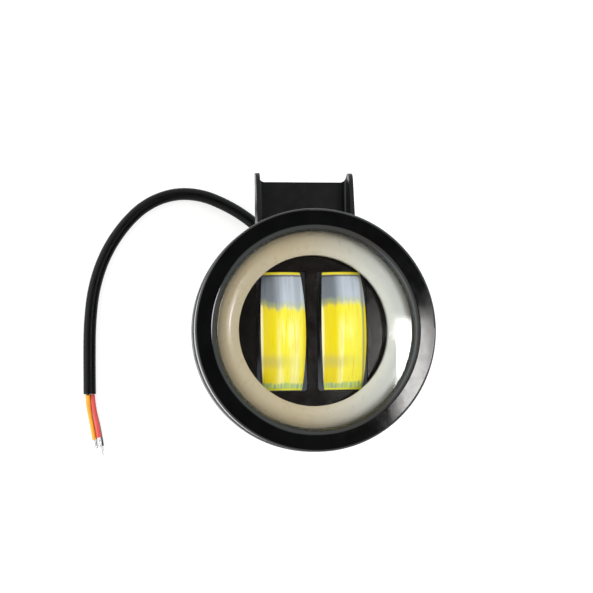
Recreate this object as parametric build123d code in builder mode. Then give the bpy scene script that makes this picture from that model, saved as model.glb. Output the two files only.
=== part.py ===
from build123d import *
import math
import os

# Round LED fog light of the 3.5-inch class, lying on its back with its face up.
# +Z is the way the lamp shines, +Y points to the bracket, and +X is on the right of
# somebody who looks at the face with the bracket at the top. Millimetres.
# The origin is the centre of the housing's flat rear face.

# Lamp envelope
BEZEL_R = 45.0  # 90 mm bezel
FACE_Z = 62.0  # rear face to bezel face
SPLIT_Z = 52.0  # parting line between the housing and the bezel
DRUM_BACK_Z = 44.0
FLANGE_R = 45.3  # the housing flange stands slightly proud of the bezel
EDGE = 0.3  # small chamfer on both sides of the parting line
FLANGE_EDGE = 0.9  # chamfer at the back of the flange
FIT = 0.05  # radial clearance of a screw, bolt or cable in its hole
OVERCUT = 1.0  # how far a cutting shape reaches past what it cuts
NEAR = 0.01  # tolerance when corners are picked by their place

# Front stack, from the lip of the bezel down
OPENING_R = 38.9  # at the face
LIP_T = 3.4
LIP_IN_R = 36.4  # at the bottom of the lip, on the lens
LIP_MID = (37.17, 60.65)  # radius and height halfway down the rounded lip
LIP_EDGE_R = 0.8  # fillet where the lip meets the face
RIM_R = 0.9  # fillet round the outer edge of the face
CAVITY_R = 41.0
STACK_R = CAVITY_R - 0.3  # outer radius of lens, gasket and mask
WALL_R = 38.9  # inner radius of the mask wall and the gasket
SKIRT_R = WALL_R - 1.0  # inner radius of the mask below its shelf
LENS_T = 1.8
GASKET_T = 0.7
LENS_TOP_Z = FACE_Z - LIP_T
LENS_Z = LENS_TOP_Z - LENS_T
GASKET_Z = LENS_Z - GASKET_T
LEDGE_Z = 50.0  # ledge in the housing that the mask stands on
LEDGE_R = 37.5
DRUM_FLOOR_Z = 46.5

# Mask: a shelf for the halo, and a sunken plate for the lens bars
SHELF_Z = 51.0
SHELF_TOP_Z = 52.2
PLATE_Z = 47.0
PLATE_TOP_Z = 49.2
WELL_R = 31.4
WELL_WALL = 1.2

# Halo ring
HALO_IN_R = 28.3
HALO_OUT_R = 37.6
HALO_CROWN_Z = 56.4
HALO_IN_Z = 54.6
HALO_OUT_Z = 55.4
HALO_WALL_IN = 2.0
HALO_WALL_OUT = 0.5
HALO_HOLLOW_Z = 54.2
HALO_BOARD_T = 0.8
HALO_BOARD_PLAY = 0.2
HALO_LED_COUNT = 24
HALO_LED = (2.0, 1.6, 0.7)

# Lens bars: barrel outline, front rounded both ways, rectangular foot
BAR_X = 11.5
BAR_HALF_L = 22.2
BAR_HALF_W = 8.5  # at the middle
BAR_END_HALF_W = 7.3  # at the two ends
BAR_TOP_Z = 56.2
BAR_CROWN = 2.4  # how much lower the long edges are than the middle
BAR_FRONT_R = 49.0  # radius of the front along the bar
BAR_CORNER_R = 0.5
# Rounded rectangles are given as width, length and corner radius
BAR_FOOT = (18.8, 45.0, 1.2)
BAR_FOOT_T = 1.6
WINDOW = (19.2, 45.4, 1.0)  # opening in the plate round each foot

# Light engine in the recess of the housing
RECESS_HALF_X = 21.0
RECESS_HALF_Y = 20.5
RECESS_Z = 40.0
RECESS_CORNER_R = 5.0
PAD_T = 0.5
LED_BOARD_T = 1.6
BOARD_GAP = 0.6  # round the pad and the board
BOARD_Z = RECESS_Z + PAD_T
BOARD_TOP_Z = BOARD_Z + LED_BOARD_T
LED_STRIP = (4.0, 31.0, 0.6)
LED_STRIP_T = 0.8
REFLECTOR_OUT = (16.0, 39.6, 1.5)
REFLECTOR_THROAT = (5.2, 32.4, 0.8)
REFLECTOR_MOUTH = (13.6, 37.6, 1.0)
BOARD_SCREW_Y = 17.3
BOARD_SCREW_R = 1.25
BOARD_SCREW_DEPTH = 7.0
BOARD_SCREW_SPARE = 0.5  # how much deeper the hole is
BOARD_SCREW_HEAD_R = 2.2
BOARD_SCREW_HEAD_H = 1.6

# Driver in a stepped round pocket of the core
POCKET_R = 14.0
POCKET_STEP_Z = 24.0
POCKET_LOW_R = 10.5
POCKET_FLOOR_Z = 2.5
DRIVER_BOARD_R = 13.2
DRIVER_BOARD_T = 1.6
DRIVER_TOP_Z = POCKET_STEP_Z + DRIVER_BOARD_T
COIL_AT = (-5.5, 2.0)
COIL_R = (4.6, 1.8)
COIL_H = 4.6
CAPACITOR_AT = (5.6, 4.6)
CAPACITOR_R = 3.15
CAPACITOR_H = 8.0
CHIPS_AT = [(4.6, -3.6), (-1.6, -7.6)]
CHIP = (4.9, 3.9, 1.6)
DIODES_AT = [(5.0, -8.4), (-7.6, -5.8)]
DIODE = (2.8, 1.8, 1.1)

# Housing core, fins and shoulder
CORE_R = 22.0
RING_R = 32.0
RING_Z = 36.0
FIN_T = 1.8
FIN_COUNT = 24
FIN_ROOT = 2.0  # how far the fins reach into the core
FIN_TAPER = (4.0, 12.0)  # the fins draw in towards the rear face
SHOULDER_Y = 16.0

# Pivot of the bracket, lug and bolts
PIVOT_Y = 32.0
PIVOT_Z = 35.5
LUG_HALF = 16.9
LUG_R = 7.5
LUG_ROOT = 3.0  # how far the lug reaches into the shoulder
LUG_SINK = 0.5  # and into the drum
LUG_L = 16.0
LOBE_ROOM = (20.0, 2.1)  # width of the room beside the lug, and its clearance under an ear
BOLT_R = 3.0
BOLT_TIP_X = 8.5
BOLT_HOLE_X = 8.0
FRICTION_T = 0.5
SIDE_GAP = 0.1  # each side of an ear
SHEET = 1.6  # bracket steel
EAR_IN = LUG_HALF + FRICTION_T + SIDE_GAP
EAR_OUT = EAR_IN + SHEET
WASHER_T = 1.0
WASHER_R = 5.4
SPRING_T = 1.2
SPRING_R = 4.9
HEAD_R = 5.25
HEAD_H = 3.3
HEAD_ROUND = 2.4
HEX_ACROSS = 4.0
HEX_DEPTH = 2.0
WASHER_X = EAR_OUT + SIDE_GAP
SPRING_X = WASHER_X + WASHER_T
HEAD_X = SPRING_X + SPRING_T

# Bracket
EAR_LOBE_R = 7.0
EAR_BACK = 5.5  # how far an ear reaches behind the pivot's height
EAR_FRONT = 2.0  # and in front of it
EAR_TIP_Y = 62.8
EAR_TIP_R = 3.7
EAR_TIP_L = 14.0  # length of the straight part of an ear's side outline
WEB_NEAR_Y = 40.3
WEB_FAR_Y = 59.7
BEND_R = 1.2  # inside radius where the web turns into an ear
GUSSET = 2.6  # fillet between the web's far edge and each ear
HOLE_R = 3.3  # for an M6 bolt to the vehicle
HOLE_Y = 45.4
WEB_BACK_Z = PIVOT_Z - EAR_BACK

# Bezel screws
SCREW_CIRCLE_R = 42.9
SCREW_COUNT = 4
SCREW_START = 45  # degrees
SCREW_R = 1.0
SCREW_HEAD_R = 1.7
SCREW_HEAD_H = 1.4
SCREW_SINK = 1.8
SCREW_HEX = (0.9, 0.8)  # corner radius and depth of the socket
SCREW_TIP_Z = 57.0
SCREW_HOLE_TOP_Z = 57.5

# Cable, gland and leads
CABLE_R = 2.5
JACKET_END_Y = -21.9
GLAND_X = -4.0
GLAND_Z = 5.2
GLAND_SEAT_Y = 13.0
GLAND_SEAT = (14.0, 13.0, 10.0)  # width, height and length of the notch it sits in
GLAND_FLANGE_R = 4.6
GLAND_FLANGE_T = 1.8
GLAND_PLUG_R = 3.5
GLAND_PLUG_L = 3.2
GLAND_TAPER_R = (4.2, 3.2)
GLAND_END_Y = 22.0
GLAND_BORE_Y = 16.0
GLAND_CORE_R = 2.2  # hole for the leads behind the bore
RIB_COUNT = 4
RIB_H = 0.35
RIB_SHARE = 0.62  # of each step that stands proud
LEAD_R = 0.6
LEAD_GAP = 0.25  # between a lead's end and the board it goes to
LEAD_START_Y = GLAND_SEAT_Y + 1.0
LEAD_END_Z = POCKET_STEP_Z - LEAD_GAP
FEED_START_Z = DRIVER_TOP_Z + LEAD_GAP
FEED_END_Z = RECESS_Z - LEAD_GAP
WIRE_R = 0.95
RED_Z = 2.95  # the red lead lies on the black one
TIP_R = 0.65
TIP_L = 3.6
ARC_SHARE = 0.45  # of the shorter of two runs, taken by the arc between them

# Routes of the leads inside the lamp: three from the gland to the driver board,
# then two from the driver board on to the light board.
LEAD_ROUTES = [
    [(-5.3, LEAD_START_Y, GLAND_Z), (-5.3, 4.0, 5.8), (-5.1, 0.5, 13.0), (-2.6, -1.0, LEAD_END_Z)],
    [(-4.0, LEAD_START_Y, GLAND_Z), (-4.0, 4.0, 5.8), (-3.0, 0.5, 13.0), (0.0, -1.0, LEAD_END_Z)],
    [(-2.7, LEAD_START_Y, GLAND_Z), (-2.7, 4.0, 5.8), (-0.9, 0.5, 13.0), (2.6, -1.0, LEAD_END_Z)],
    [(-1.2, 8.6, FEED_START_Z), (-1.6, 8.9, 31.6), (-1.2, 8.4, FEED_END_Z)],
    [(1.2, 8.6, FEED_START_Z), (1.6, 8.9, 31.6), (1.2, 8.4, FEED_END_Z)],
]

# Route of the cable on the table, from inside the gland to the stripped end.
CABLE_ROUTE = [
    (GLAND_X, 17.4, GLAND_Z),
    (GLAND_X, 25.7, GLAND_Z),
    (-6.3, 34.2, 3.0),
    (-11.0, 42.3, CABLE_R),
    (-18.3, 49.2, CABLE_R),
    (-27.5, 54.9, CABLE_R),
    (-38.0, 59.2, CABLE_R),
    (-49.4, 59.6, CABLE_R),
    (-60.9, 54.9, CABLE_R),
    (-70.2, 45.6, CABLE_R),
    (-77.4, 34.0, CABLE_R),
    (-81.7, 21.0, CABLE_R),
    (-83.3, 7.4, CABLE_R),
    (-83.6, -7.0, CABLE_R),
    (-83.5, JACKET_END_Y, CABLE_R),
]

# Routes of the three leads to their tinned tips. Each starts just past the end of the jacket,
# so that its slanting end clears it.
WIRE_ROUTES = {
    "yellow": [
        (-84.35, JACKET_END_Y - 0.25, 3.45),
        (-84.0, -26.5, 2.4),
        (-83.2, -31.0, 1.3),
        (-82.3, -36.0, WIRE_R),
        (-81.6, -40.2, WIRE_R),
    ],
    "red": [
        (-82.45, JACKET_END_Y - 0.12, 2.75),
        (-82.0, -26.5, RED_Z),
        (-81.2, -31.0, RED_Z),
        (-80.4, -35.6, RED_Z),
        (-79.85, -39.3, RED_Z),
    ],
    "black": [
        (-83.8, JACKET_END_Y - 0.34, 1.3),
        (-82.3, -26.3, WIRE_R),
        (-80.6, -33.0, WIRE_R),
        (-79.6, -38.5, WIRE_R),
        (-78.9, -42.8, WIRE_R),
    ],
}


def tube_path(points):
    """Straight runs joined by tangent arcs, each as large as its two runs allow."""
    at = [Vector(*p) for p in points]
    radii = []
    for before, here, after in zip(at, at[1:], at[2:]):
        turn = math.radians((here - before).get_angle(after - here))
        shorter = min((here - before).length, (after - here).length)
        radii.append(ARC_SHARE * shorter / math.tan(turn / 2))
    return at, radii


def report_tube(name, tube, path, radius, radii):
    """Prints a tube's length, its tightest arc and how its volume compares with its length."""
    length = path.wire().length
    ratio = tube.part.volume / (math.pi * radius**2 * length)
    print(f"{name}: length {length:.1f}, radii {min(radii):.1f} to {max(radii):.1f},", end=" ")
    print(f"volume ratio {ratio:.4f}")


finished = []

# Housing: core, drum and flange in one turned shape, then fins, lug, recesses and holes
with BuildPart() as housing:
    with BuildSketch(Plane.XZ):
        with BuildLine():
            Polyline(
                (0, 0),
                (CORE_R, 0),
                (CORE_R, RING_Z),
                (RING_R, RING_Z),
                (RING_R, DRUM_BACK_Z),
                (FLANGE_R - FLANGE_EDGE, DRUM_BACK_Z),
                (FLANGE_R, DRUM_BACK_Z + FLANGE_EDGE),
                (FLANGE_R, SPLIT_Z - EDGE),
                (FLANGE_R - EDGE, SPLIT_Z),
                (CAVITY_R, SPLIT_Z),
                (CAVITY_R, LEDGE_Z),
                (LEDGE_R, LEDGE_Z),
                (LEDGE_R, DRUM_FLOOR_Z),
                (0, DRUM_FLOOR_Z),
                close=True,
            )
        make_face()
    revolve(axis=Axis.Z)
    fin_in = CORE_R - FIN_ROOT
    with BuildSketch(Plane.XY):
        with PolarLocations((fin_in + RING_R) / 2, FIN_COUNT, start_angle=360 / FIN_COUNT / 2):
            Rectangle(RING_R - fin_in, FIN_T)
    extrude(amount=RING_Z)
    with BuildSketch(Plane.XZ):
        with BuildLine():
            Polyline(
                (RING_R - FIN_TAPER[0], 0),
                (RING_R + OVERCUT, 0),
                (RING_R + OVERCUT, FIN_TAPER[1]),
                (RING_R, FIN_TAPER[1]),
                close=True,
            )
        make_face()
    revolve(axis=Axis.Z, mode=Mode.SUBTRACT)
    # Flat shoulder towards the bracket
    with BuildSketch(Plane.XY):
        with Locations((0, SHOULDER_Y)):
            Rectangle(3 * RING_R, RING_R, align=(Align.CENTER, Align.MIN))
    extrude(amount=RING_Z, mode=Mode.SUBTRACT)
    # Room for the lobes of the ears beside the lug
    with BuildSketch(Plane.XY.offset(RING_Z)):
        for side in (-1, 1):
            with Locations((side * (LUG_HALF + LOBE_ROOM[0] / 2), PIVOT_Y - EAR_LOBE_R - LOBE_ROOM[1])):
                Rectangle(LOBE_ROOM[0], RING_R, align=(Align.CENTER, Align.MIN))
    extrude(amount=DRUM_BACK_Z - RING_Z, mode=Mode.SUBTRACT)
    # Lug with a round end about the pivot
    with BuildSketch(Plane.YZ):
        with Locations((PIVOT_Y, PIVOT_Z)):
            Circle(LUG_R)
        with Locations((SHOULDER_Y - LUG_ROOT, PIVOT_Z - LUG_R)):
            lug_top = DRUM_BACK_Z + LUG_SINK
            Rectangle(LUG_L, lug_top - PIVOT_Z + LUG_R, align=(Align.MIN, Align.MIN))
        make_hull()
    extrude(amount=LUG_HALF, both=True)
    # Recess of the light engine and stepped pocket of the driver
    with BuildSketch(Plane.XY.offset(RECESS_Z)):
        RectangleRounded(2 * RECESS_HALF_X, 2 * RECESS_HALF_Y, RECESS_CORNER_R)
    extrude(amount=DRUM_FLOOR_Z - RECESS_Z, mode=Mode.SUBTRACT)
    with BuildSketch(Plane.XY.offset(POCKET_STEP_Z)):
        Circle(POCKET_R)
    extrude(amount=RECESS_Z - POCKET_STEP_Z, mode=Mode.SUBTRACT)
    with BuildSketch(Plane.XY.offset(POCKET_FLOOR_Z)):
        Circle(POCKET_LOW_R)
    extrude(amount=POCKET_STEP_Z - POCKET_FLOOR_Z, mode=Mode.SUBTRACT)
    # Notch that the cable gland sits in, and its hole
    with BuildSketch(Plane.XY):
        with Locations((GLAND_X, GLAND_SEAT_Y)):
            Rectangle(GLAND_SEAT[0], GLAND_SEAT[2], align=(Align.CENTER, Align.MIN))
    extrude(amount=GLAND_SEAT[1], mode=Mode.SUBTRACT)
    with BuildSketch(Plane.XZ.offset(-GLAND_SEAT_Y)):
        with Locations((GLAND_X, GLAND_Z)):
            Circle(GLAND_PLUG_R)
    extrude(amount=GLAND_SEAT_Y, mode=Mode.SUBTRACT)
    # Holes for the pivot bolts, the board screws and the bezel screws
    for side in (-1, 1):
        with BuildSketch(Plane.YZ.offset(side * BOLT_HOLE_X)):
            with Locations((PIVOT_Y, PIVOT_Z)):
                Circle(BOLT_R + FIT)
        extrude(amount=side * (LUG_HALF - BOLT_HOLE_X), mode=Mode.SUBTRACT)
    with BuildSketch(Plane.XY.offset(RECESS_Z)):
        with Locations((0, BOARD_SCREW_Y), (0, -BOARD_SCREW_Y)):
            Circle(BOARD_SCREW_R + FIT)
    extrude(amount=-(BOARD_SCREW_DEPTH + BOARD_SCREW_SPARE), mode=Mode.SUBTRACT)
    with BuildSketch(Plane.XY.offset(DRUM_BACK_Z)):
        with PolarLocations(SCREW_CIRCLE_R, SCREW_COUNT, start_angle=SCREW_START):
            Circle(SCREW_R + FIT)
    extrude(amount=SPLIT_Z - DRUM_BACK_Z, mode=Mode.SUBTRACT)
    with BuildSketch(Plane.XY.offset(DRUM_BACK_Z)):
        with PolarLocations(SCREW_CIRCLE_R, SCREW_COUNT, start_angle=SCREW_START):
            Circle(SCREW_HEAD_R + FIT)
    extrude(amount=SCREW_SINK, mode=Mode.SUBTRACT)
housing.part.label = "housing"
finished.append(housing)

# Bezel ring: turned, with a lip over the front lens
with BuildPart() as bezel_ring:
    with BuildSketch(Plane.XZ):
        with BuildLine():
            ThreePointArc((OPENING_R, FACE_Z), LIP_MID, (LIP_IN_R, LENS_TOP_Z))
            Polyline(
                (LIP_IN_R, LENS_TOP_Z),
                (CAVITY_R, LENS_TOP_Z),
                (CAVITY_R, SPLIT_Z),
                (BEZEL_R - EDGE, SPLIT_Z),
                (BEZEL_R, SPLIT_Z + EDGE),
                (BEZEL_R, FACE_Z),
                (OPENING_R, FACE_Z),
            )
        make_face()
    revolve(axis=Axis.Z)
    face_edges = bezel_ring.edges().filter_by(GeomType.CIRCLE).group_by(Axis.Z)[-1].sort_by(SortBy.RADIUS)
    fillet(face_edges[-1], radius=RIM_R)
    face_edges = bezel_ring.edges().filter_by(GeomType.CIRCLE).group_by(Axis.Z)[-1].sort_by(SortBy.RADIUS)
    fillet(face_edges[0], radius=LIP_EDGE_R)
    with BuildSketch(Plane.XY.offset(SPLIT_Z)):
        with PolarLocations(SCREW_CIRCLE_R, SCREW_COUNT, start_angle=SCREW_START):
            Circle(SCREW_R + FIT)
    extrude(amount=SCREW_HOLE_TOP_Z - SPLIT_Z, mode=Mode.SUBTRACT)
bezel_ring.part.label = "bezel_ring"
finished.append(bezel_ring)

# Bezel screws, driven in from behind
with BuildPart() as bezel_screws:
    head_z = DRUM_BACK_Z + SCREW_SINK - SCREW_HEAD_H
    with BuildSketch(Plane.XY.offset(head_z)):
        with PolarLocations(SCREW_CIRCLE_R, SCREW_COUNT, start_angle=SCREW_START):
            Circle(SCREW_HEAD_R)
    extrude(amount=SCREW_HEAD_H)
    with BuildSketch(Plane.XY.offset(head_z + SCREW_HEAD_H)):
        with PolarLocations(SCREW_CIRCLE_R, SCREW_COUNT, start_angle=SCREW_START):
            Circle(SCREW_R)
    extrude(amount=SCREW_TIP_Z - head_z - SCREW_HEAD_H)
    with BuildSketch(Plane.XY.offset(head_z)):
        with PolarLocations(SCREW_CIRCLE_R, SCREW_COUNT, start_angle=SCREW_START):
            RegularPolygon(SCREW_HEX[0], 6)
    extrude(amount=SCREW_HEX[1], mode=Mode.SUBTRACT)
bezel_screws.part.label = "bezel_screws"
finished.append(bezel_screws)

# Front lens
with BuildPart() as front_lens:
    with BuildSketch(Plane.XY.offset(LENS_Z)):
        Circle(STACK_R)
    extrude(amount=LENS_T)
front_lens.part.label = "front_lens"
finished.append(front_lens)

# Gasket under the front lens
with BuildPart() as lens_gasket:
    with BuildSketch(Plane.XY.offset(GASKET_Z)):
        Circle(STACK_R)
        Circle(WALL_R, mode=Mode.SUBTRACT)
    extrude(amount=GASKET_T)
lens_gasket.part.label = "lens_gasket"
finished.append(lens_gasket)

# Inner mask: rim wall, shelf for the halo, well, and plate with two windows
with BuildPart() as inner_mask:
    with BuildSketch(Plane.XZ):
        with BuildLine():
            Polyline(
                (0, PLATE_Z),
                (WELL_R + WELL_WALL, PLATE_Z),
                (WELL_R + WELL_WALL, SHELF_Z),
                (SKIRT_R, SHELF_Z),
                (SKIRT_R, LEDGE_Z),
                (STACK_R, LEDGE_Z),
                (STACK_R, GASKET_Z),
                (WALL_R, GASKET_Z),
                (WALL_R, SHELF_TOP_Z),
                (WELL_R, SHELF_TOP_Z),
                (WELL_R, PLATE_TOP_Z),
                (0, PLATE_TOP_Z),
                close=True,
            )
        make_face()
    revolve(axis=Axis.Z)
    with BuildSketch(Plane.XY.offset(PLATE_Z)):
        with Locations((-BAR_X, 0), (BAR_X, 0)):
            RectangleRounded(*WINDOW)
    extrude(amount=PLATE_TOP_Z - PLATE_Z, mode=Mode.SUBTRACT)
inner_mask.part.label = "inner_mask"
finished.append(inner_mask)

# Halo diffuser: hollow ring with a rounded front
with BuildPart() as halo_diffuser:
    with BuildSketch(Plane.XZ):
        with BuildLine():
            Line((HALO_IN_R, SHELF_TOP_Z), (HALO_IN_R, HALO_IN_Z))
            halo_mid_r = (HALO_IN_R + HALO_OUT_R) / 2
            ThreePointArc((HALO_IN_R, HALO_IN_Z), (halo_mid_r, HALO_CROWN_Z), (HALO_OUT_R, HALO_OUT_Z))
            Polyline(
                (HALO_OUT_R, HALO_OUT_Z),
                (HALO_OUT_R, SHELF_TOP_Z),
                (HALO_OUT_R - HALO_WALL_OUT, SHELF_TOP_Z),
                (HALO_OUT_R - HALO_WALL_OUT, HALO_HOLLOW_Z),
                (HALO_IN_R + HALO_WALL_IN, HALO_HOLLOW_Z),
                (HALO_IN_R + HALO_WALL_IN, SHELF_TOP_Z),
                (HALO_IN_R, SHELF_TOP_Z),
            )
        make_face()
    revolve(axis=Axis.Z)
halo_diffuser.part.label = "halo_diffuser"
finished.append(halo_diffuser)

# Halo board and its chips, in the hollow of the diffuser
with BuildPart() as halo_board:
    with BuildSketch(Plane.XY.offset(SHELF_TOP_Z)):
        Circle(HALO_OUT_R - HALO_WALL_OUT - HALO_BOARD_PLAY)
        Circle(HALO_IN_R + HALO_WALL_IN + HALO_BOARD_PLAY, mode=Mode.SUBTRACT)
    extrude(amount=HALO_BOARD_T)
halo_board.part.label = "halo_board"
finished.append(halo_board)

with BuildPart() as halo_leds:
    with BuildSketch(Plane.XY.offset(SHELF_TOP_Z + HALO_BOARD_T)):
        halo_led_r = (HALO_IN_R + HALO_WALL_IN + HALO_OUT_R - HALO_WALL_OUT) / 2
        with PolarLocations(halo_led_r, HALO_LED_COUNT):
            Rectangle(HALO_LED[0], HALO_LED[1])
    extrude(amount=HALO_LED[2])
halo_leds.part.label = "halo_leds"
finished.append(halo_leds)

# Lens bars, reflectors and light strips, one set on each side
for side, sign in (("left", -1), ("right", 1)):
    bar_x = sign * BAR_X

    with BuildPart() as lens_bar:
        with BuildSketch(Plane.XY.offset(PLATE_Z)):
            with BuildLine():
                left_top = (bar_x - BAR_END_HALF_W, BAR_HALF_L)
                left_bottom = (bar_x - BAR_END_HALF_W, -BAR_HALF_L)
                right_top = (bar_x + BAR_END_HALF_W, BAR_HALF_L)
                right_bottom = (bar_x + BAR_END_HALF_W, -BAR_HALF_L)
                ThreePointArc(left_bottom, (bar_x - BAR_HALF_W, 0), left_top)
                Line(left_top, right_top)
                ThreePointArc(right_top, (bar_x + BAR_HALF_W, 0), right_bottom)
                Line(right_bottom, left_bottom)
            make_face()
            fillet(vertices(), radius=BAR_CORNER_R)
        extrude(amount=BAR_TOP_Z - PLATE_Z)
        # The front is part of a wheel whose rim is crowned across the bar
        wheel_z = BAR_TOP_Z - BAR_FRONT_R
        edge_z = BAR_TOP_Z - BAR_CROWN
        with BuildSketch(Plane.XZ):
            with BuildLine():
                left_edge = (bar_x - BAR_HALF_W, edge_z)
                right_edge = (bar_x + BAR_HALF_W, edge_z)
                ThreePointArc(left_edge, (bar_x, BAR_TOP_Z), right_edge)
                Polyline(
                    right_edge,
                    (bar_x + BAR_HALF_W, wheel_z),
                    (bar_x - BAR_HALF_W, wheel_z),
                    left_edge,
                )
            make_face()
        revolve(axis=Axis((0, 0, wheel_z), (1, 0, 0)), mode=Mode.INTERSECT)
        with BuildSketch(Plane.XY.offset(PLATE_Z)):
            with Locations((bar_x, 0)):
                RectangleRounded(*BAR_FOOT)
        extrude(amount=BAR_FOOT_T)
    lens_bar.part.label = f"lens_bar_{side}"
    finished.append(lens_bar)

    with BuildPart() as reflector:
        with BuildSketch(Plane.XY.offset(BOARD_TOP_Z)):
            with Locations((bar_x, 0)):
                RectangleRounded(*REFLECTOR_OUT)
        extrude(amount=PLATE_Z - BOARD_TOP_Z)
        with BuildSketch(Plane.XY.offset(BOARD_TOP_Z)):
            with Locations((bar_x, 0)):
                RectangleRounded(*REFLECTOR_THROAT)
        with BuildSketch(Plane.XY.offset(PLATE_Z)):
            with Locations((bar_x, 0)):
                RectangleRounded(*REFLECTOR_MOUTH)
        loft(mode=Mode.SUBTRACT)
    reflector.part.label = f"reflector_{side}"
    finished.append(reflector)

    with BuildPart() as led_strip:
        with BuildSketch(Plane.XY.offset(BOARD_TOP_Z)):
            with Locations((bar_x, 0)):
                RectangleRounded(*LED_STRIP)
        extrude(amount=LED_STRIP_T)
    led_strip.part.label = f"led_strip_{side}"
    finished.append(led_strip)

# Thermal pad and light board, both with holes for the two screws
for name, base_z, thick in (("thermal_pad", RECESS_Z, PAD_T), ("led_board", BOARD_Z, LED_BOARD_T)):
    with BuildPart() as sheet:
        with BuildSketch(Plane.XY.offset(base_z)):
            width = 2 * (RECESS_HALF_X - BOARD_GAP)
            height = 2 * (RECESS_HALF_Y - BOARD_GAP)
            RectangleRounded(width, height, RECESS_CORNER_R - BOARD_GAP)
            with Locations((0, BOARD_SCREW_Y), (0, -BOARD_SCREW_Y)):
                Circle(BOARD_SCREW_R + FIT, mode=Mode.SUBTRACT)
        extrude(amount=thick)
    sheet.part.label = name
    finished.append(sheet)

# Screws that hold the light board
with BuildPart() as board_screws:
    with BuildSketch(Plane.XY.offset(BOARD_TOP_Z)):
        with Locations((0, BOARD_SCREW_Y), (0, -BOARD_SCREW_Y)):
            Circle(BOARD_SCREW_HEAD_R)
    extrude(amount=BOARD_SCREW_HEAD_H)
    with BuildSketch(Plane.XY.offset(RECESS_Z - BOARD_SCREW_DEPTH)):
        with Locations((0, BOARD_SCREW_Y), (0, -BOARD_SCREW_Y)):
            Circle(BOARD_SCREW_R)
    extrude(amount=BOARD_TOP_Z - RECESS_Z + BOARD_SCREW_DEPTH)
board_screws.part.label = "board_screws"
finished.append(board_screws)

# Driver board on the step of the pocket
with BuildPart() as driver_board:
    with BuildSketch(Plane.XY.offset(POCKET_STEP_Z)):
        Circle(DRIVER_BOARD_R)
    extrude(amount=DRIVER_BOARD_T)
driver_board.part.label = "driver_board"
finished.append(driver_board)

# Components on the driver board: coil, capacitor, two chips and two diodes
with BuildPart() as driver_parts:
    with BuildSketch(Plane.XY.offset(DRIVER_TOP_Z)):
        with Locations(COIL_AT):
            Circle(COIL_R[0])
            Circle(COIL_R[1], mode=Mode.SUBTRACT)
    extrude(amount=COIL_H)
    with BuildSketch(Plane.XY.offset(DRIVER_TOP_Z)):
        with Locations(CAPACITOR_AT):
            Circle(CAPACITOR_R)
    extrude(amount=CAPACITOR_H)
    for places, (width, length, height) in ((CHIPS_AT, CHIP), (DIODES_AT, DIODE)):
        with BuildSketch(Plane.XY.offset(DRIVER_TOP_Z)):
            with Locations(*places):
                Rectangle(width, length)
        extrude(amount=height)
driver_parts.part.label = "driver_parts"
finished.append(driver_parts)

# Leads inside the lamp
with BuildPart() as internal_leads:
    for route in LEAD_ROUTES:
        points, radii = tube_path(route)
        with BuildLine() as path:
            FilletPolyline(*points, radius=radii)
        with BuildSketch(Plane(origin=path.line @ 0, z_dir=path.line % 0)):
            Circle(LEAD_R)
        sweep(path=path.line)
internal_leads.part.label = "internal_leads"
finished.append(internal_leads)

# Cable gland: plug through the wall, flange, and a ribbed taper round the cable
with BuildPart() as cable_gland:
    gland_axis = Axis((GLAND_X, 0, GLAND_Z), (0, 1, 0))
    with BuildSketch(Plane.XY.offset(GLAND_Z)):
        with BuildLine():
            taper_y = GLAND_SEAT_Y + GLAND_FLANGE_T
            outline = [
                (GLAND_X, GLAND_SEAT_Y - GLAND_PLUG_L),
                (GLAND_X + GLAND_PLUG_R - FIT, GLAND_SEAT_Y - GLAND_PLUG_L),
                (GLAND_X + GLAND_PLUG_R - FIT, GLAND_SEAT_Y),
                (GLAND_X + GLAND_FLANGE_R, GLAND_SEAT_Y),
                (GLAND_X + GLAND_FLANGE_R, taper_y),
            ]
            pitch = (GLAND_END_Y - taper_y) / RIB_COUNT
            narrowing = (GLAND_TAPER_R[0] - GLAND_TAPER_R[1]) / RIB_COUNT
            for rib in range(RIB_COUNT):
                rib_x = GLAND_X + GLAND_TAPER_R[0] - rib * narrowing
                rib_y = taper_y + rib * pitch
                outline.append((rib_x, rib_y))
                outline.append((rib_x, rib_y + RIB_SHARE * pitch))
                outline.append((rib_x - RIB_H, rib_y + RIB_SHARE * pitch))
                outline.append((rib_x - RIB_H, rib_y + pitch))
            outline.append((GLAND_X, GLAND_END_Y))
            Polyline(*outline, close=True)
        make_face()
    revolve(axis=gland_axis)
    with BuildSketch(Plane.XZ.offset(-GLAND_END_Y)):
        with Locations((GLAND_X, GLAND_Z)):
            Circle(CABLE_R + FIT)
    extrude(amount=GLAND_END_Y - GLAND_BORE_Y, mode=Mode.SUBTRACT)
    with BuildSketch(Plane.XZ.offset(-GLAND_BORE_Y)):
        with Locations((GLAND_X, GLAND_Z)):
            Circle(GLAND_CORE_R)
    extrude(amount=GLAND_BORE_Y - GLAND_SEAT_Y + GLAND_PLUG_L + OVERCUT, mode=Mode.SUBTRACT)
cable_gland.part.label = "cable_gland"
finished.append(cable_gland)

# Cable
with BuildPart() as cable_jacket:
    points, radii = tube_path(CABLE_ROUTE)
    with BuildLine() as cable_path:
        FilletPolyline(*points, radius=radii)
    with BuildSketch(Plane(origin=cable_path.line @ 0, z_dir=cable_path.line % 0)):
        Circle(CABLE_R)
    sweep(path=cable_path.line)
report_tube("cable_jacket", cable_jacket, cable_path, CABLE_R, radii)
cable_jacket.part.label = "cable_jacket"
finished.append(cable_jacket)

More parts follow.
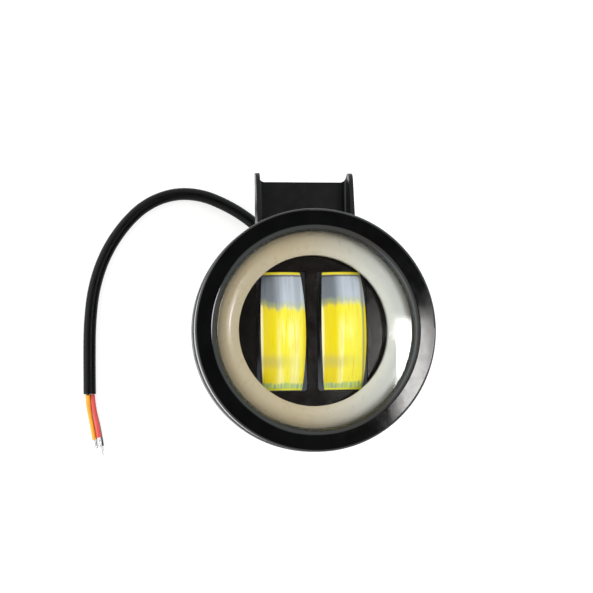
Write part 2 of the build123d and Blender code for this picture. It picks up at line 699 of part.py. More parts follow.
# Three leads out of the jacket
for colour, route in WIRE_ROUTES.items():
    with BuildPart() as wire:
        points, radii = tube_path(route)
        with BuildLine() as wire_path:
            FilletPolyline(*points, radius=radii)
        with BuildSketch(Plane(origin=wire_path.line @ 0, z_dir=wire_path.line % 0)):
            Circle(WIRE_R)
        sweep(path=wire_path.line)
    report_tube(f"wire_{colour}", wire, wire_path, WIRE_R, radii)
    wire.part.label = f"wire_{colour}"
    finished.append(wire)

# Tinned ends, in line with their leads
with BuildPart() as wire_tips:
    for route in WIRE_ROUTES.values():
        last = Vector(*route[-1])
        way = (last - Vector(*route[-2])).normalized()
        with BuildSketch(Plane(origin=last, z_dir=way)):
            Circle(TIP_R)
        extrude(amount=TIP_L)
wire_tips.part.label = "wire_tips"
finished.append(wire_tips)

# Pivot bolts: button heads with a hexagon socket
for side, sign in (("left", -1), ("right", 1)):
    with BuildPart() as pivot_bolt:
        with BuildSketch(Plane.YZ.offset(sign * BOLT_TIP_X)):
            with Locations((PIVOT_Y, PIVOT_Z)):
                Circle(BOLT_R)
        extrude(amount=sign * (HEAD_X - BOLT_TIP_X))
        with BuildSketch(Plane.YZ.offset(sign * HEAD_X)):
            with Locations((PIVOT_Y, PIVOT_Z)):
                Circle(HEAD_R)
        extrude(amount=sign * HEAD_H)
        dome = pivot_bolt.edges().filter_by(GeomType.CIRCLE).sort_by(Axis.X)
        fillet(dome[-1] if sign > 0 else dome[0], radius=HEAD_ROUND)
        with BuildSketch(Plane.YZ.offset(sign * (HEAD_X + HEAD_H))):
            with Locations((PIVOT_Y, PIVOT_Z)):
                RegularPolygon(HEX_ACROSS / 2, 6, major_radius=False)
        extrude(amount=-sign * HEX_DEPTH, mode=Mode.SUBTRACT)
    pivot_bolt.part.label = f"pivot_bolt_{side}"
    finished.append(pivot_bolt)

# Washers of both bolts: flat outside each ear, spring under each head, friction inside
washers = (
    ("flat_washers", WASHER_X, WASHER_T, WASHER_R),
    ("spring_washers", SPRING_X, SPRING_T, SPRING_R),
    ("friction_washers", LUG_HALF, FRICTION_T, WASHER_R),
)
for name, inner_x, thick, radius in washers:
    with BuildPart() as washer:
        for sign in (-1, 1):
            with BuildSketch(Plane.YZ.offset(sign * inner_x)):
                with Locations((PIVOT_Y, PIVOT_Z)):
                    Circle(radius)
                    Circle(BOLT_R + FIT, mode=Mode.SUBTRACT)
            extrude(amount=sign * thick)
    washer.part.label = name
    finished.append(washer)

# Bracket: a channel bent from one sheet. Its web is trimmed back at both ends.
with BuildPart() as bracket:
    channel_front = PIVOT_Z + EAR_LOBE_R + OVERCUT
    with BuildSketch(Plane.XZ.offset(-EAR_TIP_Y)):
        with BuildLine():
            Polyline(
                (-EAR_OUT, channel_front),
                (-EAR_OUT, WEB_BACK_Z),
                (EAR_OUT, WEB_BACK_Z),
                (EAR_OUT, channel_front),
                (EAR_IN, channel_front),
                (EAR_IN, WEB_BACK_Z + SHEET),
                (-EAR_IN, WEB_BACK_Z + SHEET),
                (-EAR_IN, channel_front),
                close=True,
            )
        make_face()
        fillet(vertices().group_by(Axis.Y)[0], radius=BEND_R + SHEET)
        fillet(vertices().filter_by(lambda v: abs(v.Y - WEB_BACK_Z - SHEET) < NEAR), radius=BEND_R)
    extrude(amount=EAR_TIP_Y - PIVOT_Y + EAR_LOBE_R)
    # Side outline: round end about the pivot, rounded tips
    with BuildSketch(Plane.YZ):
        with Locations((PIVOT_Y, PIVOT_Z)):
            Circle(EAR_LOBE_R)
        with Locations((EAR_TIP_Y, WEB_BACK_Z)):
            Rectangle(EAR_TIP_L, EAR_BACK + EAR_FRONT, align=(Align.MAX, Align.MIN))
        make_hull()
        fillet(vertices().group_by(Axis.X)[-1], radius=EAR_TIP_R)
    extrude(amount=EAR_OUT + OVERCUT, both=True, mode=Mode.INTERSECT)
    # Web trimmed back near the lug and at the tips, with rounded corners
    with BuildSketch(Plane.XY.offset(WEB_BACK_Z - OVERCUT)):
        with Locations((0, WEB_FAR_Y)):
            Rectangle(2 * EAR_IN, EAR_TIP_L, align=(Align.CENTER, Align.MIN))
        with Locations((0, WEB_NEAR_Y)):
            Rectangle(2 * EAR_IN, WEB_NEAR_Y, align=(Align.CENTER, Align.MAX))
        web_corners = vertices().filter_by(lambda v: WEB_NEAR_Y - NEAR < v.Y < WEB_FAR_Y + NEAR)
        fillet(web_corners, radius=GUSSET)
    extrude(amount=SHEET + BEND_R + OVERCUT, mode=Mode.SUBTRACT)
    with BuildSketch(Plane.XY.offset(WEB_BACK_Z)):
        with Locations((0, HOLE_Y)):
            Circle(HOLE_R)
    extrude(amount=SHEET, mode=Mode.SUBTRACT)
    with BuildSketch(Plane.YZ):
        with Locations((PIVOT_Y, PIVOT_Z)):
            Circle(BOLT_R + FIT)
    extrude(amount=EAR_OUT + OVERCUT, both=True, mode=Mode.SUBTRACT)
bracket.part.label = "bracket"
finished.append(bracket)

os.makedirs("parts", exist_ok=True)
for piece in finished:
    export_step(piece.part, f"parts/{piece.part.label}.step")
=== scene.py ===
"""A round auxiliary fog light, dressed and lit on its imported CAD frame. Lengths are in metres."""

import math

import bpy
from mathutils import Matrix, Vector

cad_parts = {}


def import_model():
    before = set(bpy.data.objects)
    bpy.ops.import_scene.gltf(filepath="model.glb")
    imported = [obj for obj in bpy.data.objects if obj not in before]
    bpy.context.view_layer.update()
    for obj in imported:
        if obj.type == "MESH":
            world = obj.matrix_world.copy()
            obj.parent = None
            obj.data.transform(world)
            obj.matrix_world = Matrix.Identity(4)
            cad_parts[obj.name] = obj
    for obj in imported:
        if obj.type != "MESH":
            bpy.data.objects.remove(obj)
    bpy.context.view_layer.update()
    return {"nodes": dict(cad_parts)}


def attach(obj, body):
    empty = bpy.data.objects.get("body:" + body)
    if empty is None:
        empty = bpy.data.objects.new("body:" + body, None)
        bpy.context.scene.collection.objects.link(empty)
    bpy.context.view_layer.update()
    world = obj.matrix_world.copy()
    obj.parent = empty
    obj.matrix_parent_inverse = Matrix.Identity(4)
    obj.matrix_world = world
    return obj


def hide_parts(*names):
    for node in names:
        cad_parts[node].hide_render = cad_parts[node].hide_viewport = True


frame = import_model()
nodes = frame["nodes"]

MM = 0.001

bpy.context.scene.view_settings.view_transform = "Standard"

# ---------------------------------------------------------------- camera
CAMERA_AT = Vector((-78.0, -28.0, 552.0)) * MM
CAMERA_AIM = Vector((-7.52, 12.07, 62.0)) * MM
CAMERA_LENS = 81.92
CAMERA_ROLL = math.radians(1.0)


def place_camera():
    """Looks down on the face from above, a little to the left and below its middle."""
    forward = (CAMERA_AIM - CAMERA_AT).normalized()
    right = forward.cross(Vector((0, 1, 0))).normalized()
    up = right.cross(forward)
    turned_right = right * math.cos(CAMERA_ROLL) - up * math.sin(CAMERA_ROLL)
    turned_up = up * math.cos(CAMERA_ROLL) + right * math.sin(CAMERA_ROLL)
    camera = bpy.data.objects.new("camera", bpy.data.cameras.new("camera"))
    camera.data.lens = CAMERA_LENS
    camera.data.sensor_width = 36
    turn = Matrix((turned_right, turned_up, -forward)).transposed()
    camera.matrix_world = Matrix.Translation(CAMERA_AT) @ turn.to_4x4()
    bpy.context.scene.collection.objects.link(camera)
    bpy.context.scene.camera = camera


place_camera()


# ---------------------------------------------------------------- material nodes
def srgb(*levels):
    """A linear colour from the 0 to 255 levels that a screen shows."""
    shares = [level / 255 for level in levels]
    return tuple(s / 12.92 if s <= 0.04045 else ((s + 0.055) / 1.055) ** 2.4 for s in shares)


class Finish:
    """One material and short calls for its nodes. Its places are the piece's own, in metres."""

    def __init__(self, name, colour=(0.5, 0.5, 0.5), rough=0.5, metal=0.0):
        self.material = bpy.data.materials.new(name)
        self.material.use_nodes = True
        self.tree = self.material.node_tree
        self.shader = self.tree.nodes["Principled BSDF"]
        self.output = self.tree.nodes["Material Output"]
        self.place = self.node("ShaderNodeTexCoord").outputs["Object"]
        self.set("Base Color", (*colour, 1))
        self.set("Roughness", rough)
        self.set("Metallic", metal)

    def node(self, kind, **settings):
        made = self.tree.nodes.new(kind)
        for name, value in settings.items():
            setattr(made, name, value)
        return made

    def feed(self, socket, value):
        """Links another node's socket to this one, or sets a constant on it."""
        if isinstance(value, bpy.types.NodeSocket):
            self.tree.links.new(value, socket)
        elif isinstance(value, tuple) and len(value) == 3 and socket.type == "RGBA":
            socket.default_value = (*value, 1)
        else:
            socket.default_value = value

    def set(self, name, value):
        self.feed(self.shader.inputs[name], value)

    def math(self, what, *values):
        made = self.node("ShaderNodeMath", operation=what)
        for socket, value in zip(made.inputs, values):
            self.feed(socket, value)
        return made.outputs[0]

    def axes(self, place=None):
        """The X, Y and Z of a place, which is the piece's own when none is given."""
        made = self.node("ShaderNodeSeparateXYZ")
        self.feed(made.inputs[0], place or self.place)
        return made.outputs

    def stretched(self, x, y, z):
        """The place, with each axis times its own factor."""
        made = self.node("ShaderNodeMapping")
        self.feed(made.inputs["Vector"], self.place)
        made.inputs["Scale"].default_value = (x, y, z)
        return made.outputs[0]

    def noise(self, grain, detail=2.0, place=None, seed=0.0):
        """Cloudy noise from 0 to 1 whose patches are about grain metres wide."""
        made = self.node("ShaderNodeTexNoise", noise_dimensions="4D")
        self.feed(made.inputs["Vector"], place or self.place)
        made.inputs["W"].default_value = seed
        made.inputs["Scale"].default_value = 1 / grain
        made.inputs["Detail"].default_value = detail
        return made.outputs["Fac"]

    def ramp(self, value, start, end, low=0.0, high=1.0):
        """low before start, high past end, and a smooth run between. End may be below start."""
        made = self.node("ShaderNodeMapRange", interpolation_type="SMOOTHSTEP")
        self.feed(made.inputs["Value"], value)
        self.feed(made.inputs["From Min"], start)
        self.feed(made.inputs["From Max"], end)
        self.feed(made.inputs["To Min"], low)
        self.feed(made.inputs["To Max"], high)
        return made.outputs[0]

    def window(self, value, start, end, edge):
        """1 between start and end, 0 outside, with soft edges."""
        rise = self.ramp(value, start - edge, start + edge)
        fall = self.ramp(value, end + edge, end - edge)
        return self.math("MULTIPLY", rise, fall)

    def drifted(self, value, drift, share):
        """The value moved by a share of the drift."""
        return self.math("ADD", value, self.math("MULTIPLY", drift, share))

    def mix(self, share, first, second):
        """The first colour where share is 0, and the second where it is 1."""
        made = self.node("ShaderNodeMix", data_type="RGBA")
        self.feed(made.inputs[0], share)
        self.feed(made.inputs[6], first)
        self.feed(made.inputs[7], second)
        return made.outputs[2]

    def bump(self, height, depth):
        """Raises the surface by depth metres where height is 1."""
        made = self.node("ShaderNodeBump")
        made.inputs["Strength"].default_value = 1.0
        made.inputs["Distance"].default_value = depth
        self.feed(made.inputs["Height"], height)
        return made.outputs[0]


# Noise mostly stays between these levels, so ramps over it run from one to the other.
NOISE_LOW = 0.3
NOISE_HIGH = 0.7
COLOUR_PATCH = 9 * MM
GLOSS_PATCH = 4 * MM


def grained(name, colour, rough, grain, depth, metal=0.0, spread=0.25, rough_spread=0.08):
    """A painted, cast or moulded finish: uneven in colour and gloss, with a fine grain."""
    made = Finish(name, colour, rough, metal)
    dark = tuple(c * (1 - spread) for c in colour)
    light = tuple(min(c * (1 + spread), 1) for c in colour)
    patches = made.noise(COLOUR_PATCH, 3.0)
    made.set("Base Color", made.mix(made.ramp(patches, NOISE_LOW, NOISE_HIGH), dark, light))
    gloss = made.noise(GLOSS_PATCH, 4.0, seed=3.0)
    made.set("Roughness", made.ramp(gloss, NOISE_LOW, NOISE_HIGH, rough - rough_spread, rough + rough_spread))
    made.set("Normal", made.bump(made.noise(grain, 3.0, seed=7.0), depth))
    return made


def put(look, *names):
    """Gives the named CAD pieces this finish."""
    for name in names:
        nodes[name].data.materials.clear()
        nodes[name].data.materials.append(look.material)


FINE_GRAIN = {"grain": 0.4 * MM, "depth": 0.004 * MM}

# ---------------------------------------------------------------- metal parts
cast = grained("cast_black", (0.011, 0.011, 0.012), 0.33, grain=0.5 * MM, depth=0.02 * MM)
put(cast, "housing")

BEZEL_GRAIN = {"grain": 1.5 * MM, "depth": 0.0003 * MM}
bezel = grained("bezel_black", (0.003, 0.003, 0.0034), 0.065, **BEZEL_GRAIN, rough_spread=0.02)
put(bezel, "bezel_ring")

BRACKET_GRAIN = {"grain": 0.45 * MM, "depth": 0.006 * MM}
bracket_paint = grained("bracket_black", (0.004, 0.004, 0.0045), 0.30, **BRACKET_GRAIN, rough_spread=0.03)
bracket_paint.set("Specular IOR Level", 0.3)
put(bracket_paint, "bracket")

black_steel = grained("black_steel", (0.03, 0.03, 0.032), 0.38, **FINE_GRAIN, metal=0.3)
put(black_steel, "bezel_screws", "pivot_bolt_left", "pivot_bolt_right")

ZINC_GRAIN = {"grain": 0.3 * MM, "depth": 0.003 * MM}
zinc = grained("zinc_steel", (0.55, 0.55, 0.56), 0.3, **ZINC_GRAIN, metal=1.0, spread=0.12)
put(zinc, "flat_washers", "spring_washers", "board_screws")

nylon = grained("nylon", (0.05, 0.05, 0.052), 0.5, **FINE_GRAIN)
put(nylon, "friction_washers")

# ---------------------------------------------------------------- inner parts
board_white = grained("board_white", (0.75, 0.75, 0.72), 0.4, grain=0.5 * MM, depth=0.004 * MM, spread=0.05)
put(board_white, "led_board", "halo_board")

board_green = grained("board_green", (0.02, 0.12, 0.05), 0.35, **FINE_GRAIN)
put(board_green, "driver_board")

component = grained("component", (0.03, 0.03, 0.033), 0.45, grain=0.3 * MM, depth=0.004 * MM)
put(component, "driver_parts")

pad = grained("pad_grey", (0.28, 0.29, 0.31), 0.8, grain=0.4 * MM, depth=0.02 * MM)
put(pad, "thermal_pad")

led_chip = grained("led_chip", (0.85, 0.7, 0.25), 0.3, grain=0.5 * MM, depth=0.004 * MM, spread=0.08)
put(led_chip, "halo_leds")

phosphor = grained("phosphor", (0.9, 0.7, 0.05), 0.5, grain=0.3 * MM, depth=0.01 * MM, spread=0.06)
put(phosphor, "led_strip_left", "led_strip_right")

MIRROR = {"metal": 1.0, "spread": 0.03, "rough_spread": 0.04}
reflector = grained("reflector", (0.85, 0.85, 0.87), 0.12, grain=0.8 * MM, depth=0.003 * MM, **MIRROR)
put(reflector, "reflector_left", "reflector_right")

gasket = grained("rubber_black", (0.018, 0.018, 0.019), 0.6, grain=0.4 * MM, depth=0.01 * MM)
put(gasket, "lens_gasket", "cable_gland")

mask = grained("mask_black", (0.010, 0.007, 0.006), 0.14, grain=3 * MM, depth=0.02 * MM, rough_spread=0.04)
put(mask, "inner_mask")

# ---------------------------------------------------------------- halo
# The halo is painted darker and warm on the left, lighter and cool on the right: painted shade and painted
# light, for warm light from the left and cool window light from the right.
HALO_WARM_SHADE = (0.55, 0.455, 0.30)
HALO_COOL_LIGHT = (0.66, 0.675, 0.64)

halo = Finish("milky")
# Painted shade on the halo's left turns to painted light on its right.
halo.set("Base Color", halo.mix(halo.ramp(halo.axes()["X"], -12 * MM, 32 * MM), HALO_WARM_SHADE, HALO_COOL_LIGHT))
halo.set("Roughness", halo.ramp(halo.noise(3 * MM, 3.0), NOISE_LOW, NOISE_HIGH, 0.26, 0.36))
halo.set("Normal", halo.bump(halo.noise(2.5 * MM, 2.0, seed=5.0), 0.01 * MM))
halo.set("Coat Weight", 0.6)
halo.set("Coat Roughness", 0.08)
put(halo, "halo_diffuser")


# ---------------------------------------------------------------- front lens
PANE_IOR = 1.75  # higher than the plastic's own, because both faces of the pane add gloss


def clear_pane():
    """Thin clear plastic: what is behind it shows straight through, under a gloss."""
    look = Finish("clear_lens")
    look.tree.nodes.remove(look.shader)
    see = look.node("ShaderNodeBsdfTransparent")
    gloss = look.node("ShaderNodeBsdfGlossy")
    gloss.inputs["Color"].default_value = (1, 1, 1, 1)
    smear = look.ramp(look.noise(14 * MM, 4.0), 0.35, 0.7, 0.01, 0.05)
    look.feed(gloss.inputs["Roughness"], smear)
    share = look.node("ShaderNodeFresnel")
    share.inputs["IOR"].default_value = PANE_IOR
    outside = look.math("SUBTRACT", 1.0, look.node("ShaderNodeNewGeometry").outputs["Backfacing"])
    both = look.node("ShaderNodeMixShader")
    look.feed(both.inputs[0], look.math("MULTIPLY", share.outputs[0], outside))
    look.tree.links.new(see.outputs[0], both.inputs[1])
    look.tree.links.new(gloss.outputs[0], both.inputs[2])
    look.tree.links.new(both.outputs[0], look.output.inputs["Surface"])
    return look


put(clear_pane(), "front_lens")

# ---------------------------------------------------------------- lens bars
# Along a bar, places are its Y. Across it they run from -1 at the left edge to 1 at the right.
BAR_X = 11.5 * MM
BAR_HALF_W = 8.5 * MM
FOOT_TOP_Z = 48.7 * MM
RAGGED = 8 * MM
RAGGED_FINE = 2.5 * MM
BLEND = 1.5 * MM  # half the stretch where the clear end turns yellow
# The clear end's two greys are painted shade and painted light across it.
CLEAR_PAINTED_SHADE = srgb(108, 116, 126)
CLEAR_PAINTED_LIGHT = srgb(190, 198, 210)
CLEAR_STREAK = srgb(116, 122, 132)
CLEAR_GREEN = srgb(188, 196, 96)
# The first two yellows are painted shade and painted light across the bar.
YELLOW_PAINTED_SHADE = srgb(226, 206, 2)
YELLOW_PAINTED_LIGHT = srgb(243, 232, 64)
YELLOW_DEEP = srgb(226, 194, 6)
# The next two are painted highlights, pale streaks and a pale left edge, for the window's reflection on the
# bar.
YELLOW_PAINTED_HIGHLIGHT = srgb(250, 243, 170)
YELLOW_LEFT_EDGE_HIGHLIGHT = srgb(250, 240, 180)
YELLOW_RIGHT_EDGE = srgb(230, 206, 10)
YELLOW_DULL = srgb(168, 160, 112)
FRINGE_BLUE = srgb(96, 158, 150)
FRINGE_GREEN = srgb(206, 222, 104)
LINE_DARK = srgb(70, 70, 62)
LINE_TOP = srgb(240, 222, 60)
LINE_BOTTOM = srgb(228, 226, 60)
STRIP_GREY = srgb(140, 136, 104)
# Painted shade for the side faces and the foot, each in a darker and a paler tone.
SIDE_PAINTED_SHADE_DARK = srgb(22, 20, 22)
SIDE_PAINTED_SHADE_PALE = srgb(98, 102, 112)
FOOT_PAINTED_SHADE_DARK = srgb(26, 25, 27)
FOOT_PAINTED_SHADE_PALE = srgb(74, 80, 90)


class BarFace:
    """What the parts of a lens bar's pattern share: places on it, and streaks along it."""

    def __init__(self, look, centre):
        self.look = look
        x, self.y, self.z = look.axes()
        self.across = look.math("DIVIDE", look.math("SUBTRACT", x, centre), BAR_HALF_W)
        seed = centre * 1000
        self.broad = look.noise(2.4 * MM, 2.0, place=look.stretched(1, 0.05, 0.0), seed=seed)
        self.fine = look.noise(0.8 * MM, 2.0, place=look.stretched(1, 0.08, 0.0), seed=seed + 2)
        ragged = look.math("MULTIPLY", look.math("SUBTRACT", self.broad, 0.5), RAGGED)
        self.ragged = look.drifted(ragged, look.math("SUBTRACT", self.fine, 0.5), RAGGED_FINE)
        self.along = look.math("ADD", self.y, self.ragged)


def clear_end_colour(face, clear_end):
    """The clear end: grey where the silver reflector shows through the plastic, a painted reflection, painted
    darker on the left and lighter on the right, with a hint of green where the yellow starts.
    """
    look = face.look
    # Painted shade on the left of the clear end, painted light from its middle rightwards.
    grey = look.mix(look.ramp(face.across, -0.5, 0.05), CLEAR_PAINTED_SHADE, CLEAR_PAINTED_LIGHT)
    streak = look.math("MULTIPLY", look.ramp(face.broad, 0.45, 0.65), 0.35)
    grey = look.mix(streak, grey, CLEAR_STREAK)
    green = look.window(face.along, clear_end + 0.5 * MM, clear_end + 2.0 * MM, 1.0 * MM)
    return look.mix(look.math("MULTIPLY", green, 0.35), grey, CLEAR_GREEN)


def emitter_colour(face):
    """The yellow emitter under the plastic, painted darker on the left and lighter on the right as painted
    shade and light, with pale streaks and a pale left edge of painted highlight, deep streaks and a dull
    band.
    """
    look = face.look
    # Painted shade on the left of the yellow, painted light from its middle rightwards.
    yellow = look.mix(look.ramp(face.across, -0.55, 0.0), YELLOW_PAINTED_SHADE, YELLOW_PAINTED_LIGHT)
    # Pale streaks of painted highlight, the window's reflection, in the middle and lower part of the bar.
    middle = look.window(face.across, -0.25, 0.65, 0.15)
    highlight_streaks = look.math("MULTIPLY", look.ramp(face.broad, 0.45, 0.56), middle)
    highlight_streaks = look.math("MULTIPLY", highlight_streaks, look.ramp(face.y, 8 * MM, -2 * MM))
    yellow = look.mix(look.math("MULTIPLY", highlight_streaks, 0.85), yellow, YELLOW_PAINTED_HIGHLIGHT)
    deep = look.math("MULTIPLY", look.ramp(face.fine, 0.5, 0.66), 0.4)
    yellow = look.mix(deep, yellow, YELLOW_DEEP)
    # A painted highlight along the left edge.
    yellow = look.mix(look.ramp(face.across, -0.86, -0.93), yellow, YELLOW_LEFT_EDGE_HIGHLIGHT)
    yellow = look.mix(look.ramp(face.across, 0.80, 0.94), yellow, YELLOW_RIGHT_EDGE)
    band = look.window(look.drifted(face.y, face.ragged, 0.3), -13.6 * MM, -9.6 * MM, 1.8 * MM)
    band = look.math("MULTIPLY", band, look.ramp(face.across, 0.7, -0.5, 0.08, 0.42))
    return look.mix(band, yellow, YELLOW_DULL)


def with_bar_ends(face, colour):
    """Adds the blue-green fringe at the bottom, and the thin lines along both ends."""
    look = face.look
    fringe = look.ramp(look.drifted(face.y, face.ragged, 0.25), -19.0 * MM, -20.2 * MM, 0.0, 0.8)
    fringe_colour = look.mix(look.ramp(face.fine, 0.35, 0.65), FRINGE_BLUE, FRINGE_GREEN)
    colour = look.mix(fringe, colour, fringe_colour)
    dark_line = look.window(look.drifted(face.y, face.ragged, 0.15), 20.5 * MM, 21.2 * MM, 0.2 * MM)
    colour = look.mix(look.math("MULTIPLY", dark_line, 0.75), colour, LINE_DARK)
    colour = look.mix(look.ramp(face.y, 21.1 * MM, 21.3 * MM), colour, LINE_TOP)
    return look.mix(look.ramp(face.y, -21.4 * MM, -21.7 * MM), colour, LINE_BOTTOM)


def with_bar_sides(face, colour, grey_strip):
    """Adds the grey strip near the right edge, and painted shade on the side faces and the foot, paler
    towards the bar's lower end.
    """
    look = face.look
    strip = look.window(face.across, 0.80, 0.90, 0.03)
    colour = look.mix(look.math("MULTIPLY", strip, grey_strip), colour, STRIP_GREY)
    # The side faces are painted shade, paler towards the bar's lower end.
    facing = look.axes(look.node("ShaderNodeTexCoord").outputs["Normal"])["X"]
    side = look.ramp(look.math("ABSOLUTE", facing), 0.75, 0.9)
    colour = look.mix(side, colour, look.mix(look.ramp(face.y, 4 * MM, -3 * MM), SIDE_PAINTED_SHADE_DARK, SIDE_PAINTED_SHADE_PALE))
    # The foot, deep in the well, is painted shade too, paler towards the bar's lower end.
    foot = look.ramp(face.z, FOOT_TOP_Z + 0.3 * MM, FOOT_TOP_Z)
    return look.mix(foot, colour, look.mix(look.ramp(face.y, -8 * MM, -14 * MM), FOOT_PAINTED_SHADE_DARK, FOOT_PAINTED_SHADE_PALE))


def lens_bar(name, centre, clear_end, grey_strip):
    """A lens over the yellow emitter: clear towards the top, yellow below, streaked along its length, with
    painted shade, painted highlights and a faint painted glow.
    """
    look = Finish(name)
    face = BarFace(look, centre)
    clear = look.ramp(face.along, clear_end - BLEND, clear_end + BLEND)
    colour = look.mix(clear, emitter_colour(face), clear_end_colour(face, clear_end))
    colour = with_bar_ends(face, colour)
    colour = with_bar_sides(face, colour, grey_strip)
    look.set("Base Color", colour)
    look.set("Roughness", look.ramp(face.fine, NOISE_LOW, NOISE_HIGH, 0.26, 0.36))
    look.set("Normal", look.bump(face.broad, 0.05 * MM))
    look.set("Coat Weight", 0.15)
    look.set("Coat Roughness", 0.2)
    look.set("Specular IOR Level", 0.3)
    # A faint glow in the bar's own painted colours, though the bar is no lamp: painted light that brightens
    # it.
    look.set("Emission Color", colour)
    look.set("Emission Strength", 0.20)
    return look


put(lens_bar("bar_lens_left", -BAR_X, clear_end=8.6 * MM, grey_strip=0.0), "lens_bar_left")
put(lens_bar("bar_lens_right", BAR_X, clear_end=10.4 * MM, grey_strip=0.75), "lens_bar_right")

# ---------------------------------------------------------------- cable and leads
CABLE_ROUTE = (
    (-4.0, 17.4, 5.2),
    (-4.0, 25.7, 5.2),
    (-6.3, 34.2, 3.0),
    (-11.0, 42.3, 2.5),
    (-18.3, 49.2, 2.5),
    (-27.5, 54.9, 2.5),
    (-38.0, 59.2, 2.5),
    (-49.4, 59.6, 2.5),
    (-60.9, 54.9, 2.5),
    (-70.2, 45.6, 2.5),
    (-77.4, 34.0, 2.5),
    (-81.7, 21.0, 2.5),
    (-83.3, 7.4, 2.5),
    (-83.6, -7.0, 2.5),
    (-83.5, -21.9, 2.5),
)
CABLE_D = 5.0 * MM


def smooth_line(name, route):
    """A curve with one NURBS spline through the route's control points."""
    curve = bpy.data.curves.new(name, "CURVE")
    curve.dimensions = "3D"
    spline = curve.splines.new("NURBS")
    spline.points.add(len(route) - 1)
    for point, place in zip(spline.points, route):
        point.co = (*(c * MM for c in place), 1)
    spline.order_u = 3
    spline.use_endpoint_u = True
    spline.resolution_u = 24
    return bpy.data.objects.new(name, curve)


cable = smooth_line("cable", CABLE_ROUTE)
bpy.context.scene.collection.objects.link(cable)
cable.data.bevel_depth = CABLE_D / 2
cable.data.bevel_resolution = 10
cable.data.use_fill_caps = True
rubber = grained("cable_black", (0.003, 0.003, 0.0035), 0.33, grain=0.5 * MM, depth=0.008 * MM)
rubber.set("Specular IOR Level", 0.13)
cable.data.materials.append(rubber.material)
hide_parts("cable_jacket")
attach(cable, "lamp")
put(grained("wire_yellow", srgb(246, 172, 46), 0.35, **FINE_GRAIN, spread=0.08), "wire_yellow")
put(grained("wire_red", srgb(222, 82, 78), 0.35, **FINE_GRAIN, spread=0.08), "wire_red")
put(grained("wire_black", (0.012, 0.012, 0.012), 0.35, **FINE_GRAIN), "wire_black")
TIN_GRAIN = {"grain": 0.3 * MM, "depth": 0.01 * MM}
put(grained("tinned", (0.72, 0.72, 0.73), 0.3, **TIN_GRAIN, metal=1.0, spread=0.1), "wire_tips")


# ---------------------------------------------------------------- floor
FLOOR_HALF = 3.0
FLOOR_GREY = 0.5
FLOOR_GLOW = 0.7


def floor():
    """A pale sheet under the lamp, white to the eye and in reflections, that keeps the shadow."""
    half = FLOOR_HALF
    corners = [(-half, -half, 0), (half, -half, 0), (half, half, 0), (-half, half, 0)]
    mesh = bpy.data.meshes.new("floor")
    mesh.from_pydata(corners, [], [(0, 1, 2, 3)])
    sheet = bpy.data.objects.new("floor", mesh)
    bpy.context.scene.collection.objects.link(sheet)
    look = Finish("floor")
    look.tree.nodes.remove(look.shader)
    matte = look.node("ShaderNodeBsdfDiffuse")
    matte.inputs["Color"].default_value = (FLOOR_GREY, FLOOR_GREY, FLOOR_GREY, 1)
    path = look.node("ShaderNodeLightPath").outputs
    mirrored = look.math("MAXIMUM", path["Is Glossy Ray"], path["Is Transmission Ray"])
    seen = look.math("MAXIMUM", path["Is Camera Ray"], mirrored)
    glow = look.node("ShaderNodeEmission")
    look.feed(glow.inputs["Strength"], look.math("MULTIPLY", seen, FLOOR_GLOW))
    both = look.node("ShaderNodeAddShader")
    look.tree.links.new(matte.outputs[0], both.inputs[0])
    look.tree.links.new(glow.outputs[0], both.inputs[1])
    look.tree.links.new(both.outputs[0], look.output.inputs["Surface"])
    mesh.materials.append(look.material)


floor()


# ---------------------------------------------------------------- world
# Heights and sides are the Z and X of a direction that is one long.
WALL_LIGHT = 1.3
WALL_TOP = 0.80  # height where the walls start to darken
CEILING_LIGHT = 0.03
CEILING_EDGE = 0.965
LOW_LEFT_LIGHT = 2.0  # added low on the left
LOW_TOP = (0.30, 0.60)
LEFT_EDGE = (-0.85, -0.35)
WARM_LEFT = (1.0, 0.95, 0.86)
COOL_RIGHT = (0.93, 1.0, 0.98)
BLUE_LOW_LEFT = (0.86, 0.94, 1.0)


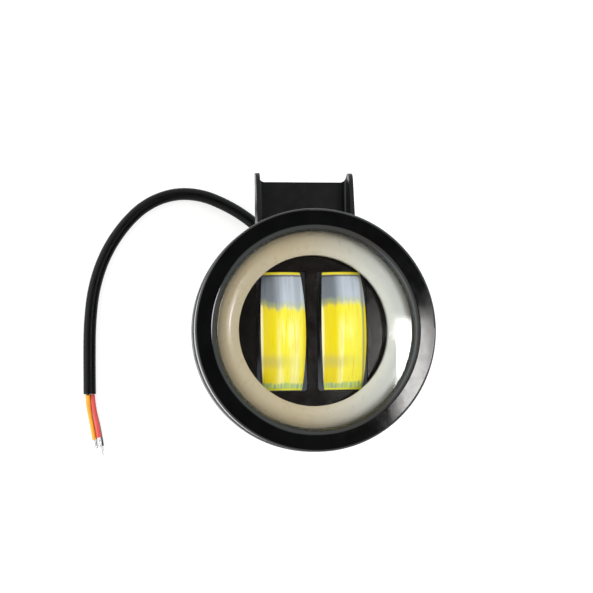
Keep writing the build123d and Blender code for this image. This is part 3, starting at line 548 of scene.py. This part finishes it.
def world():
    """A studio with bright walls, brightest low on the left, and a dark ceiling. It looks white."""
    made = bpy.data.worlds.new("studio")
    bpy.context.scene.world = made
    made.use_nodes = True
    tree = made.node_tree
    tree.nodes.clear()

    def add(kind, **settings):
        node = tree.nodes.new(kind)
        for name, value in settings.items():
            setattr(node, name, value)
        return node

    def smooth(value, start, end, low, high):
        node = add("ShaderNodeMapRange", interpolation_type="SMOOTHSTEP")
        tree.links.new(value, node.inputs["Value"])
        node.inputs["From Min"].default_value = start
        node.inputs["From Max"].default_value = end
        node.inputs["To Min"].default_value = low
        node.inputs["To Max"].default_value = high
        return node.outputs[0]

    def combine(operation, first, second):
        node = add("ShaderNodeMath", operation=operation)
        tree.links.new(first, node.inputs[0])
        tree.links.new(second, node.inputs[1])
        return node.outputs[0]

    axes = add("ShaderNodeSeparateXYZ")
    tree.links.new(add("ShaderNodeTexCoord").outputs["Generated"], axes.inputs[0])
    height = axes.outputs["Z"]
    side = axes.outputs["X"]
    level = smooth(height, WALL_TOP, CEILING_EDGE, WALL_LIGHT, CEILING_LIGHT)
    low = smooth(height, *LOW_TOP, 1.0, 0.0)
    low_left = combine("MULTIPLY", low, smooth(side, *LEFT_EDGE, LOW_LEFT_LIGHT, 0.0))
    tint = add("ShaderNodeMix", data_type="RGBA")
    tree.links.new(smooth(side, -0.7, 0.7, 0.0, 1.0), tint.inputs[0])
    tint.inputs[6].default_value = (*WARM_LEFT, 1)
    tint.inputs[7].default_value = (*COOL_RIGHT, 1)
    bluish = add("ShaderNodeMix", data_type="RGBA")
    tree.links.new(smooth(low_left, 0.0, 1.2, 0.0, 1.0), bluish.inputs[0])
    tree.links.new(tint.outputs[2], bluish.inputs[6])
    bluish.inputs[7].default_value = (*BLUE_LOW_LEFT, 1)
    light = add("ShaderNodeBackground")
    tree.links.new(bluish.outputs[2], light.inputs["Color"])
    tree.links.new(combine("ADD", level, low_left), light.inputs["Strength"])
    white = add("ShaderNodeBackground")
    white.inputs["Color"].default_value = (1, 1, 1, 1)
    both = add("ShaderNodeMixShader")
    tree.links.new(add("ShaderNodeLightPath").outputs["Is Camera Ray"], both.inputs[0])
    tree.links.new(light.outputs[0], both.inputs[1])
    tree.links.new(white.outputs[0], both.inputs[2])
    tree.links.new(both.outputs[0], add("ShaderNodeOutputWorld").inputs["Surface"])


world()


# ---------------------------------------------------------------- lamps
FACE_Z = 62 * MM
LAMP_HEIGHT = 2.0


def overhead(name, x0, x1, y0, y1, radiance, colour):
    """A flat lamp high above the face that shines straight down, with its sides in metres."""
    lamp = bpy.data.lights.new(name, "AREA")
    lamp.shape = "RECTANGLE"
    lamp.size = x1 - x0
    lamp.size_y = y1 - y0
    lamp.color = colour
    lamp.energy = radiance * math.pi * lamp.size * lamp.size_y
    made = bpy.data.objects.new(name, lamp)
    made.location = ((x0 + x1) / 2, (y0 + y1) / 2, FACE_Z + LAMP_HEIGHT)
    bpy.context.scene.collection.objects.link(made)


overhead("window", 0.470, 0.532, -0.0613, 0.1303, 18.0, (1.0, 0.99, 0.97))
overhead("window_glow", 0.53, 0.85, -0.03, 0.16, 3.2, (1.0, 0.98, 0.96))
overhead("far_window", 0.86, 1.24, -0.14, 0.16, 17.0, (0.93, 0.9, 1.0))
